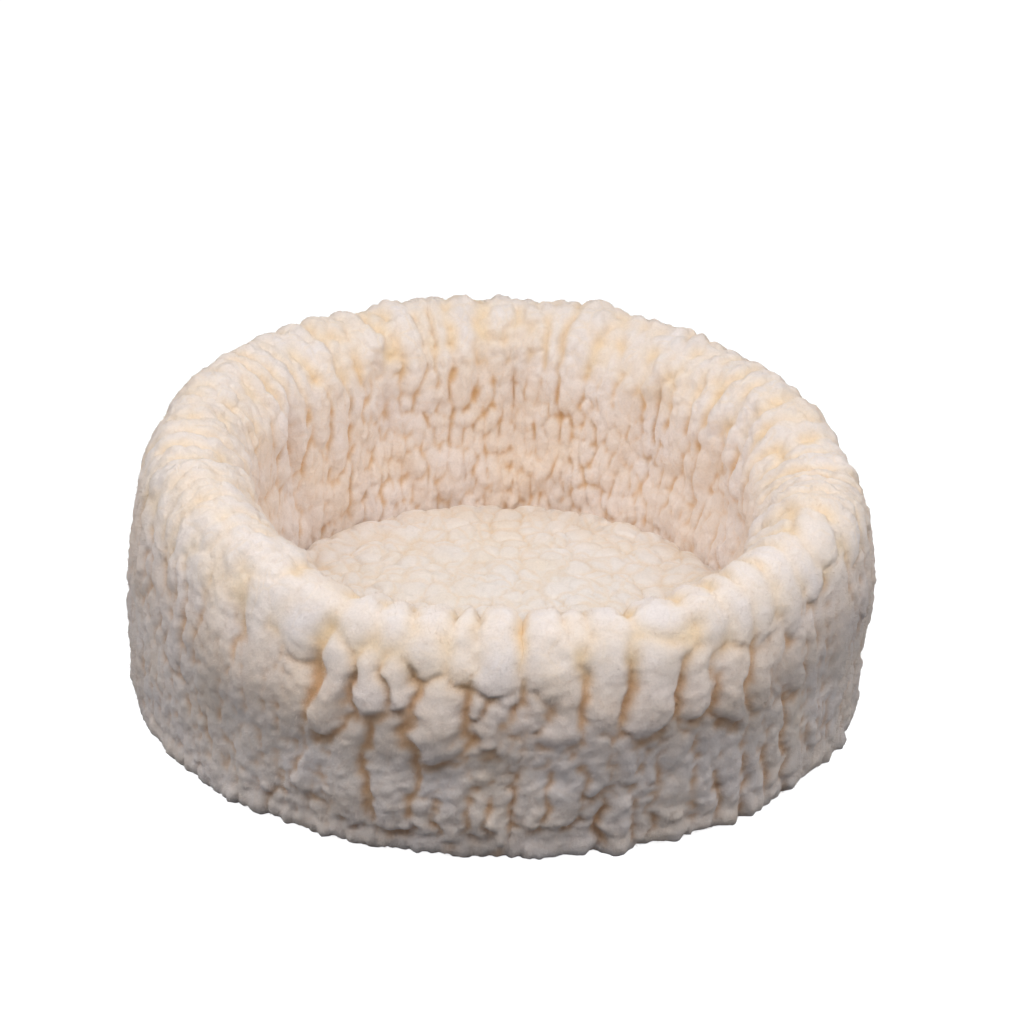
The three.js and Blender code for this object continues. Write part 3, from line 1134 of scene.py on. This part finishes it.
def fibre_group() -> bpy.types.NodeTree:
    """Shared pile effect: fibre height, creases of the smallest clumps with a crease colour that is
    partly painted shade, and a soft change of tone.

    Returns:
        The group, built once and then shared.
    """
    known = bpy.data.node_groups.get("pile_fibre")
    if known:
        return known
    group = bpy.data.node_groups.new("pile_fibre", "ShaderNodeTree")
    for name, kind, way in (
        ("Place", "NodeSocketVector", "INPUT"),
        ("Fibre length", "NodeSocketFloat", "INPUT"),
        ("Patch size", "NodeSocketFloat", "INPUT"),
        ("Cell size", "NodeSocketVector", "INPUT"),
        ("Lumpy", "NodeSocketFloat", "INPUT"),
        ("Height", "NodeSocketFloat", "OUTPUT"),
        ("Crease", "NodeSocketFloat", "OUTPUT"),
        ("Tone", "NodeSocketColor", "OUTPUT"),
    ):
        group.interface.new_socket(name=name, in_out=way, socket_type=kind)
    bench = NodeBench(group)
    given, sink = bench.add("NodeGroupInput").outputs, bench.add("NodeGroupOutput").inputs
    place, length, lumpy = given["Place"], given["Fibre length"], given["Lumpy"]

    # Fibres and the tufts that they gather in
    grain = bench.noise(place, length, 3.0, 0.65)
    tuft = bench.noise(place, bench.maths("MULTIPLY", length, 3.2), 2.0, 0.5)
    fibres = bench.maths("ADD", bench.maths("MULTIPLY", grain, 0.8), bench.maths("MULTIPLY", tuft, 1.5))

    # Smallest clumps, with creases that wander; the Crease output tints them, partly as painted shade
    scaled = bench.vector("DIVIDE", place, given["Cell size"])
    stir = bench.add("ShaderNodeTexNoise", {"Vector": scaled, "Scale": 0.9, "Detail": 0.0})
    shift = bench.vector("SUBTRACT", stir.outputs["Color"], (0.5, 0.5, 0.5))
    shift = bench.vector("MULTIPLY", shift, (1.2, 1.2, 1.2))
    inputs = {"Vector": bench.vector("ADD", scaled, shift), "Scale": 1.0}
    edge = bench.add("ShaderNodeTexVoronoi", inputs, feature="DISTANCE_TO_EDGE").outputs["Distance"]
    strength = bench.maths("MULTIPLY", bench.ranged(tuft, (0.35, 0.65), (0.6, 1.0)), lumpy)
    crease = bench.maths("MULTIPLY", strength, bench.ranged(edge, (0.0, 0.13), (0.5, 0.0)))
    swell = bench.maths("MULTIPLY", lumpy, bench.ranged(edge, (0.0, 0.35), (0.0, 4.0)))
    bench.feed(sink["Crease"], crease)
    bench.feed(sink["Height"], bench.maths("MULTIPLY", bench.maths("ADD", fibres, swell), 0.6 * MM))

    # Warmer patches and the speckle of the fibres
    ramp = bench.add("ShaderNodeValToRGB", {"Fac": bench.noise(place, given["Patch size"], 2.0, 0.5)})
    white, warm = ramp.color_ramp.elements
    white.position, white.color = 0.35, (1.0, 1.0, 1.0, 1.0)
    warm.position, warm.color = 0.75, (1.0, 0.95, 0.86, 1.0)
    speckle = bench.ranged(grain, (0.35, 0.62), (0.93, 1.0), "LINEAR")
    bench.feed(sink["Tone"], bench.mixed(1.0, ramp.outputs["Color"], speckle, "MULTIPLY"))
    return group


@dataclass(frozen=True)
class WovenFinish:
    """Look of a plain woven cloth."""

    name: str
    colour: Colour
    thread: float = 0.8
    shaded: float = 0.72

    def build(self) -> bpy.types.Material:
        """Makes the material, with crossing threads as bump and tone.

        Returns:
            The material.
        """
        material, bench, shader = new_material(self.name)
        place = bench.add("ShaderNodeTexCoord").outputs["Object"]
        inputs = {
            "Vector": place,
            "Scale": 0.314 / (self.thread * MM),
            "Distortion": 0.6,
            "Detail Scale": 0.4,
        }
        warp, weft = (
            bench.add("ShaderNodeTexWave", inputs, wave_type="BANDS", bands_direction=way).outputs["Fac"]
            for way in ("X", "Y")
        )
        weave = bench.maths("MULTIPLY", warp, weft)
        dark = opaque(tuple(self.shaded * part for part in self.colour))
        bench.feed(shader.inputs["Base Color"], bench.mixed(weave, dark, opaque(self.colour)))
        bump = bench.add("ShaderNodeBump", {"Strength": 0.7, "Distance": 0.3 * MM, "Height": weave})
        bench.feed(shader.inputs["Normal"], bump.outputs["Normal"])
        bench.feed(shader.inputs["Roughness"], 0.9)
        return material


@dataclass
class WallHalf:
    """One padded half of the wall, from one seam to the other.

    Slack is how far the cover starts inside the wall on the outer face, the rim and the inner
    face, so that it swells to its size.
    """

    name: str
    node: str
    start_angle: float
    end_angle: float
    form: WallForm = field(default_factory=WallForm)
    relief: PileRelief = field(default_factory=PileRelief)
    filling: PressureTest = field(default_factory=PressureTest)
    stations: int = 116
    cover_rows: tuple[tuple[Zone, int], ...] = ((Zone.OUTER, 16), (Zone.RIM, 15), (Zone.INNER, 18))
    fineness: int = 4
    seam_gap: float = 0.05
    slack: tuple[float, float, float] = (10.5, 5.5, 9.0)
    neighbourhoods: tuple[float, float, float] = (1.6, 4.5, 10.0)

    def places(self) -> np.ndarray:
        """Places along the section of the coarse cover's rows."""
        rows = [np.linspace(zone.value, zone.value + 1, count + 1)[1:] for zone, count in self.cover_rows]
        return np.concatenate([[0.0], *rows])

    def pattern(self) -> tuple[np.ndarray, np.ndarray]:
        """Angle and place of each point of the coarse cover, from seam to seam.

        Returns:
            Angles and places, by station and row.
        """
        places = self.places()
        gap = math.degrees(self.seam_gap / PATTERN_REACH)
        start = self.start_angle + gap + self.relief.seam_sway(self.start_angle, places)
        end = self.end_angle - gap + self.relief.seam_sway(self.end_angle, places)
        share = np.linspace(0.0, 1.0, self.stations + 1)[:, None]
        return between(start, end, share), places + 0 * share

    def inset(self, place: np.ndarray) -> np.ndarray:
        """Depth at which the cover starts inside the wall.

        Args:
            place: places along the section.

        Returns:
            Depth at each place, in millimetres.
        """
        outer, rim, inner = self.slack
        past_outer, past_rim = ease(place, 1.0, 1.5), ease(place, 1.6, 2.1)
        depth = outer * (1 - past_outer) + inner * past_rim
        depth = depth + rim * past_outer * (1 - past_rim)
        foot = 1 - 0.6 * ease(place, 2.3, 2.6) - 0.4 * ease(place, 2.75, 2.95)
        return depth * ease(place, 0.0, 0.1) * foot

    def cover(self) -> np.ndarray:
        """Swells a coarse cover between its seams and creases.

        Returns:
            Angle, place and point of the settled cover by station and row.
        """
        angle, place = self.pattern()
        inward = (self.inset(place) * 1.0)[..., None]
        start = self.form.cover(angle, place) - self.form.normals(angle, place) * inward

        bpy.ops.object.select_all(action="DESELECT")
        stations, rows = angle.shape
        bpy.ops.mesh.primitive_grid_add(x_subdivisions=rows - 1, y_subdivisions=stations - 1, size=1)
        cover = bpy.context.object
        cover.name = self.name + "_cover"
        set_mesh_points(cover, start.reshape(-1, 3) * MM)
        with editing(cover):
            bpy.ops.mesh.flip_normals()
        crease = self.relief.creases(angle, place, np.zeros(angle.shape))
        hold = np.maximum(1 - LOOSE_COVER.share(place), 0.9 * ease(crease, 1.0, 4.0))
        hold[[0, 1, -2, -1], :] = 1.0
        self.filling.swell(cover, hold.ravel())
        settled = mesh_points(cover).reshape(start.shape) / MM
        bpy.data.objects.remove(cover, do_unlink=True)
        return np.concatenate([angle[..., None], place[..., None], settled], axis=2)

    def build(self, finish: bpy.types.Material) -> bpy.types.Object:
        """Makes the finished half and gives it its look.

        Args:
            finish: the fleece's material.

        Returns:
            The padded piece.
        """
        fine = refined(self.cover(), self.fineness)
        angle, place, base = fine[..., 0], np.clip(fine[..., 1], 0.0, 3.0), fine[..., 2:]
        height, hang = (blurred(values, 0.5) for values in self.relief.heights(angle, place))
        outward = self.form.normals(angle, place)
        points = base + outward * height[..., None]
        points[..., 2] = np.maximum(points[..., 2] - hang, GROUND_GAP)
        values = self.pile_values(angle, place, height)
        softer = base + outward * blurred(height, 5.0)[..., None]
        values["soft"] = self.soft_normals(softer, outward, angle, place)
        piece = self.closed_body(points, angle, values)
        piece.data.materials.append(finish)
        logger.info("%s has %d faces", piece.name, len(piece.data.polygons))
        return piece

    def pile_values(
        self, angle: np.ndarray, place: np.ndarray, height: np.ndarray
    ) -> dict[str, np.ndarray]:
        """What the material reads about each point of the pile.

        Args:
            angle: angle of each point.
            place: place of each point along the section.
            height: height of the pile, in millimetres.

        Returns:
            How deep the point lies between its neighbours, with painted shade under the lobes, painted
            warm bounce light on a belt of the faces and a painted glow in the rim's valleys, as one
            crease value; how far it belongs to the rim and to the inner face; and how strong the smallest
            clumps are (lumpy).
        """
        near, mid, far = (blurred(height, radius) - height for radius in self.neighbourhoods)
        rim, inner = ease(place, 0.9, 1.25), ease(place, 1.85, 2.1)
        crest = rim * (1 - inner)
        # Painted shade under the lobes: pile just below a higher lobe takes the crease colour, as if in
        # that lobe's shadow
        above = np.maximum(np.roll(height, -3, axis=1), np.roll(height, -5, axis=1)) - height
        under = 0.8 * ease(above, 1.5, 4.5) * (1 - rim)
        sharp = blurred(np.maximum(ease(0.5 * near + 0.4 * mid, 0.15, 1.4), under), 0.6)
        # Painted warm bounce light: a belt of the outer face and the inner face take part of the crease
        # colour
        warm = 0.14 * PAINTED_BOUNCE_BELT.share(place) + 0.08 * inner
        # On the rim's crest the valleys take the crease colour as a painted glow of scattered light
        valley = np.maximum(0.1 * near + 0.14 * mid + 0.1 * far - 0.05, 0.0)
        hollow = between(1 - (1 - sharp) * (1 - warm), blurred(1 - np.exp(-2.6 * valley), 2.0), crest)
        lumpy = np.maximum(0.2, 0.4 * inner) + 0.2 * crest * (1 - FRONT.share(angle % 360))
        return {"hollow": hollow, "rim": rim, "inner": inner, "lumpy": lumpy}

    def soft_normals(
        self, softer: np.ndarray, outward: np.ndarray, angle: np.ndarray, place: np.ndarray
    ) -> np.ndarray:
        """Directions that the shading leans to, because deep pile never shades as hard as its shape.

        Args:
            softer: points of the cover with a softened pile.
            outward: normals of the smooth cover.
            angle: angle of each point.
            place: place of each point along the section.

        Returns:
            One vector for each point. A longer one softens more.
        """
        soft = np.cross(np.gradient(softer, axis=0), np.gradient(softer, axis=1))
        soft = unit(soft * np.sign((soft * outward).sum(axis=-1, keepdims=True)))
        turned = angle % 360
        front, wide = FRONT.share(turned), WIDE_FRONT.share(turned)
        inner = ease(place, 1.85, 2.1)
        crest = ease(place, 0.9, 1.25) * (1 - inner)
        firm = np.maximum(1 - ease(place, 0.5, 0.9), 1 - wide) * (1 - inner)
        share = 1.0 - 0.4 * firm - 0.6 * inner - 0.25 * crest + 0.75 * crest * front
        tilt = 0.5 * LIT_BELT.share(place) - 0.42 * wide * SHADED_BELT.share(place)
        soft = soft * share[..., None]
        soft[..., 2] += tilt + 0.08 * (1 - ease(place, 0.1, 0.3))
        return soft

    def closed_body(
        self, points: np.ndarray, angle: np.ndarray, values: dict[str, np.ndarray]
    ) -> bpy.types.Object:
        """Closes the cover with its underside and its two ends.

        Args:
            points: cover by station and row, in millimetres.
            angle: angle of each point.
            values: what the material reads, for each point of the cover.

        Returns:
            The object of the closed body.
        """
        stations, rows = points.shape[:2]
        angles = angle[:, 0]
        sole = self.form.sole(angles)
        under = [
            self.form.placed(angles, sole, np.full(stations, up))
            for up in (self.form.underside, GROUND_GAP)
        ]
        body = np.concatenate([points, np.stack(under, axis=1)], axis=1)
        loop = rows + len(under)
        i, j = np.meshgrid(np.arange(stations - 1), np.arange(loop), indexing="ij")
        a, b = i * loop + j, i * loop + (j + 1) % loop
        faces = np.stack([a, a + loop, b + loop, b], axis=-1).reshape(-1, 4).tolist()
        last = (stations - 1) * loop
        faces.append(list(range(loop)))
        faces.append([last + k for k in reversed(range(loop))])
        mesh = bpy.data.meshes.new(self.name)
        mesh.from_pydata((body.reshape(-1, 3) * MM).tolist(), [], faces)
        piece = linked(self.name, mesh)
        for name, value in values.items():
            around = ((0, 0), (0, len(under)), (0, 0))[: value.ndim]
            add_point_values(piece, name, np.pad(value, around, "edge"))
        self.add_cloth_map(mesh, loop, stations)
        station = column(mesh.edges, "vertices", 2, np.int32) // loop
        level = station[:, 0] == station[:, 1]
        at_end = level & ((station[:, 0] == 0) | (station[:, 0] == stations - 1))
        mesh.edges.foreach_set("use_edge_sharp", at_end)
        select_only(piece)
        bpy.ops.object.shade_smooth(keep_sharp_edges=True)
        with editing(piece):
            bpy.ops.mesh.normals_make_consistent(inside=False)
        return piece

    def add_cloth_map(self, mesh: bpy.types.Mesh, loop: int, stations: int) -> None:
        """Gives the cover a map along and across the cloth.

        Args:
            mesh: the closed body.
            loop: how many points go round one station.
            stations: how many stations there are.
        """
        layer = mesh.uv_layers.new(name="cloth")
        corner = column(mesh.loops, "vertex_index", kind=np.int32)
        uv = np.stack([(corner // loop) / (stations - 1), (corner % loop) / (loop - 1)], axis=1)
        layer.data.foreach_set("uv", uv.astype(np.float32).ravel())


@dataclass
class FloorPad:
    """Round crowned cushion of shorter pile in the well."""

    name: str = "pad_cover"
    node: str = "floor_pad"
    voxel: float = 6.0
    filling: PressureTest = field(default_factory=lambda: PressureTest(pressure=3.0, cap=4.0))
    nubs: ClumpLayer = ClumpLayer(14, 17, 5.6, 25, crease=0.5, merging=0.2)
    fine: ClumpLayer = ClumpLayer(7, 8, 1.2, 28, crease=0.6, merging=0.3)
    edge_puff: float = 6.0
    flat_foot: tuple[float, float] = (1.0, 10.0)
    edge: tuple[float, float] = (118.0, 140.0)
    shaded_edge: tuple[float, float] = (141.0, 146.0)

    def build(self, finish: bpy.types.Material) -> bpy.types.Object:
        """Swells a copy of the pad's solid and lays the pile on it.

        Args:
            finish: the fleece's material.

        Returns:
            The padded piece.
        """
        low, high = (Vector(corner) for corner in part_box(self.node))
        piece = linked(self.name, bpy.data.objects[self.node].data.copy())
        piece.data.materials.clear()
        with editing(piece):
            bpy.ops.mesh.remove_doubles(threshold=0.01 * MM)
        remesh = piece.modifiers.new("even", "REMESH")
        remesh.mode = "VOXEL"
        remesh.voxel_size = self.voxel * MM
        bpy.ops.object.modifier_apply(modifier=remesh.name)
        hold = 1.0 - ease((mesh_points(piece)[:, 2] - low.z) / MM, *self.flat_foot)
        self.filling.swell(piece, hold)
        finer = piece.modifiers.new("finer", "SUBSURF")
        finer.levels = finer.render_levels = 2
        bpy.ops.object.modifier_apply(modifier=finer.name)
        self.lay_pile(piece, (low + high) / 2, low.z / MM)
        piece.data.materials.append(finish)
        bpy.ops.object.shade_smooth()
        logger.info("%s has %d faces", piece.name, len(piece.data.polygons))
        return piece

    def lay_pile(self, piece: bpy.types.Object, centre: Vector, ground: float) -> None:
        """Raises the pile's rows of clumps on the pad's top and side.

        Args:
            piece: the swollen pad.
            centre: middle of the pad, in metres.
            ground: height of the pad's foot, in millimetres.
        """
        points, normals = mesh_points(piece) / MM, mesh_normals(piece)
        x, y = points[:, 0], points[:, 1]
        wx = x + 3.0 * drift(x, y, 22.0, 21) + 1.5 * drift(x, y, 9.0, 22)
        wy = y + 2.4 * drift(x, y, 26.0, 23) + 1.0 * drift(x, y, 9.0, 24)
        nubs = self.nubs.heights(wx, wy)
        height = nubs + self.fine.heights(wx, wy) + 0.25 * drift(x, y, 2.8, 26)
        height = height + 1.6 * drift(x, y, 52.0, 27) - 0.5 * self.nubs.rise
        away = np.hypot(x - centre.x / MM, y - centre.y / MM)
        height = height + self.edge_puff * ease(away, *self.edge) * ease(normals[:, 2], 0.0, 0.4)
        height = height * ease(points[:, 2] - ground, *self.flat_foot)
        # Crease colour share of the pad: deeper pile and painted shade in its creases, and painted shade
        # along the edge by the wall
        hollow = np.clip((0.55 - nubs / self.nubs.rise) * 2.2, 0, 1)
        hollow = np.maximum(hollow, 0.7 * ease(away, *self.shaded_edge))
        set_mesh_points(piece, (points + normals * height[:, None]) * MM)
        none = np.zeros(len(points))
        values = {"hollow": hollow, "rim": none, "inner": none + 1, "lumpy": none + 0.9, "soft": normals}
        for name, value in values.items():
            add_point_values(piece, name, value)


@dataclass
class BaseCloth:
    """Plain woven cloth that closes the underside."""

    name: str = "base_cloth"
    node: str = "base_panel"
    corners: int = 144
    edge_gap: float = 0.6
    hem: float = 9.0
    hem_line: float = 1.2
    hem_depth: float = 0.5

    def build(self, finish: bpy.types.Material) -> bpy.types.Object:
        """Cuts the cloth to the base's outline, with a pressed hem line.

        Args:
            finish: the cloth's material.

        Returns:
            The sheet.
        """
        low, high = (Vector(corner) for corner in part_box(self.node))
        form = WallForm()
        angles = np.arange(self.corners) * 360.0 / self.corners
        rim = form.placed(angles, form.sole(angles) - self.edge_gap, np.zeros(self.corners))
        bpy.ops.object.select_all(action="DESELECT")
        bpy.ops.mesh.primitive_circle_add(vertices=self.corners, radius=1, fill_type="NGON")
        piece = bpy.context.object
        piece.name = self.name
        flat = mesh_points(piece)
        turn = (np.degrees(np.arctan2(flat[:, 1], flat[:, 0])) % 360.0) * self.corners / 360.0
        set_mesh_points(piece, rim[np.round(turn).astype(int) % self.corners] * MM)
        with editing(piece):
            bpy.ops.mesh.inset(thickness=self.hem * MM)
            for depth in (self.hem_depth, -self.hem_depth):
                bpy.ops.mesh.inset(thickness=self.hem_line * MM, depth=depth * MM)
            bpy.ops.mesh.select_all(action="SELECT")
            bpy.ops.mesh.extrude_region_move(TRANSFORM_OT_translate={"value": (0, 0, high.z - low.z)})
            bpy.ops.mesh.select_all(action="SELECT")
            bpy.ops.mesh.normals_make_consistent(inside=False)
        piece.data.materials.append(finish)
        return piece


@dataclass
class Studio:
    """Pale floor, soft light and the camera."""

    camera_distance: float = 1.8
    elevation: float = 26.5
    lens: float = 104.8
    aim: tuple[float, float, float] = (0.0090, 0.0450, 0.0878)
    cool: Colour = (0.92, 0.96, 1.0)

    def build(self) -> None:
        """Makes the floor, the lights and the camera."""
        self.floor()
        self.light("overhead", (0.0, 0.1, 0.9), (0.0, 0.1, 0.0), (2.0, 1.1), 3.7)
        self.light("over_front", (0.0, -0.6, 1.0), (0.0, 0.0, 0.0), (2.0, 0.8), 10.6)
        self.light("left_fill", (-1.3, 0.0, 0.8), (0.0, 0.0, 0.1), (0.8, 0.8), 3.0, self.cool)
        self.light("right_fill", (1.3, 0.0, 0.8), (0.0, 0.0, 0.1), (0.8, 0.8), 3.3, self.cool)
        world = bpy.data.worlds.new("studio")
        world.use_nodes = True
        backdrop = world.node_tree.nodes["Background"]
        backdrop.inputs["Color"].default_value = (0.96, 0.97, 1.0, 1.0)
        backdrop.inputs["Strength"].default_value = 0.06
        bpy.context.scene.world = world
        bpy.context.scene.view_settings.view_transform = "Standard"
        self.camera()

    def floor(self) -> None:
        """Makes the pale floor, which throws less light on the bed than its own paleness would."""
        bpy.ops.object.select_all(action="DESELECT")
        bpy.ops.mesh.primitive_plane_add(size=30, location=(0, 0, 0))
        floor = bpy.context.object
        floor.name = "floor"
        material, bench, shader = new_material("pale_floor")
        for name, value in (
            ("Base Color", opaque((0.9, 0.9, 0.9))),
            ("Roughness", 0.8),
            ("Emission Color", opaque((1.0, 1.0, 1.0))),
            ("Emission Strength", 0.93),
        ):
            bench.feed(shader.inputs[name], value)
        dark = bench.add("ShaderNodeBsdfDiffuse", {"Color": opaque((0.2, 0.21, 0.23))})
        seen = bench.add("ShaderNodeLightPath").outputs["Is Camera Ray"]
        bench.show_mix(seen, dark, shader)
        floor.data.materials.append(material)

    def light(
        self,
        name: str,
        place: Sequence[float],
        target: Sequence[float],
        size: tuple[float, float],
        power: float,
        colour: Colour = (1.0, 1.0, 1.0),
    ) -> None:
        """Makes one soft light that faces a point.

        Args:
            name: name of the light.
            place: where it hangs, in metres.
            target: the point that it faces, in metres.
            size: width and height of the light, in metres.
            power: how strong it is, in watts.
            colour: colour of the light.
        """
        data = bpy.data.lights.new(name, "AREA")
        data.shape = "RECTANGLE"
        data.size, data.size_y = size
        data.energy = power
        data.color = colour
        lamp = linked(name, data)
        lamp.location = place
        lamp.visible_camera = False
        lamp.rotation_euler = (Vector(target) - Vector(place)).to_track_quat("-Z", "Y").to_euler()

    def camera(self) -> None:
        """Makes the camera at the photograph's viewing angle."""
        data = bpy.data.cameras.new("view")
        data.lens = self.lens
        data.sensor_width = 36.0
        camera = linked("view", data)
        tilt = math.radians(self.elevation)
        centre = Vector((*WallForm().centre, 0.0)) * MM
        camera.location = centre + self.camera_distance * Vector((0, -math.cos(tilt), math.sin(tilt)))
        look = Vector(self.aim) - camera.location
        camera.rotation_euler = look.to_track_quat("-Z", "Y").to_euler()
        bpy.context.scene.camera = camera


def finished(piece: bpy.types.Object, node: str | None = None) -> bpy.types.Object:
    """Lets a piece move with the bed, and hides the solid that it stands for, if any.

    Args:
        piece: the finished piece.
        node: the solid that the piece stands for, if any.

    Returns:
        The same piece.
    """
    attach(piece, "root")
    if node:
        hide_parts(node)
    logger.info("made %s", piece.name)
    return piece


def main() -> None:
    """Builds the bed and its studio, piece by piece."""
    logging.basicConfig(level=logging.INFO, format="%(name)s: %(message)s")
    Studio().build()
    # Depth colours: partly the deeper pile's own colour, partly painted crease shade, and on the rim a
    # painted glow of scattered light
    wall_colours = {
        "tips": (0.95, 0.865, 0.83),
        "outer_depth_and_painted_shade": (0.79, 0.525, 0.32),
        "rim_depth_and_painted_glow": (0.96, 0.72, 0.4),
        "inner_depth_and_painted_shade": (0.8, 0.53, 0.29),
        "cells": (15.0, 15.0, 19.0),
    }
    pad_depth_and_painted_shade = (0.86, 0.68, 0.5)
    pad_colours = {
        "tips": (0.92, 0.85, 0.8),
        "outer_depth_and_painted_shade": pad_depth_and_painted_shade,
        "rim_depth_and_painted_glow": pad_depth_and_painted_shade,
        "inner_depth_and_painted_shade": pad_depth_and_painted_shade,
        "cells": (22.0, 26.0, 30.0),
    }
    wall_look = FleeceFinish("wall_fleece", **wall_colours).build()
    wall_ends = FleeceFinish("wall_fibre_ends", **wall_colours, through=0.5).build()
    pad_look = FleeceFinish("pad_fleece", **pad_colours).build()
    pad_ends = FleeceFinish("pad_fibre_ends", **pad_colours, through=0.5).build()
    woven_look = WovenFinish("base_cloth", (0.55, 0.49, 0.42)).build()
    for half in (
        WallHalf("wall_left_fleece", "wall_left", 88.0, 272.0),
        WallHalf("wall_right_fleece", "wall_right", -88.0, 88.0),
    ):
        piece = finished(half.build(wall_look), half.node)
        finished(PileFuzz(180000, 61).build(half.name + "_fuzz", piece, wall_ends))
    pad = FloorPad()
    piece = finished(pad.build(pad_look), pad.node)
    pad_fuzz = PileFuzz(100000, 62, length=2.0, width=0.14)
    finished(pad_fuzz.build(pad.name + "_fuzz", piece, pad_ends))
    base = BaseCloth()
    piece = finished(base.build(woven_look), base.node)


if __name__ == "__main__":
    main()
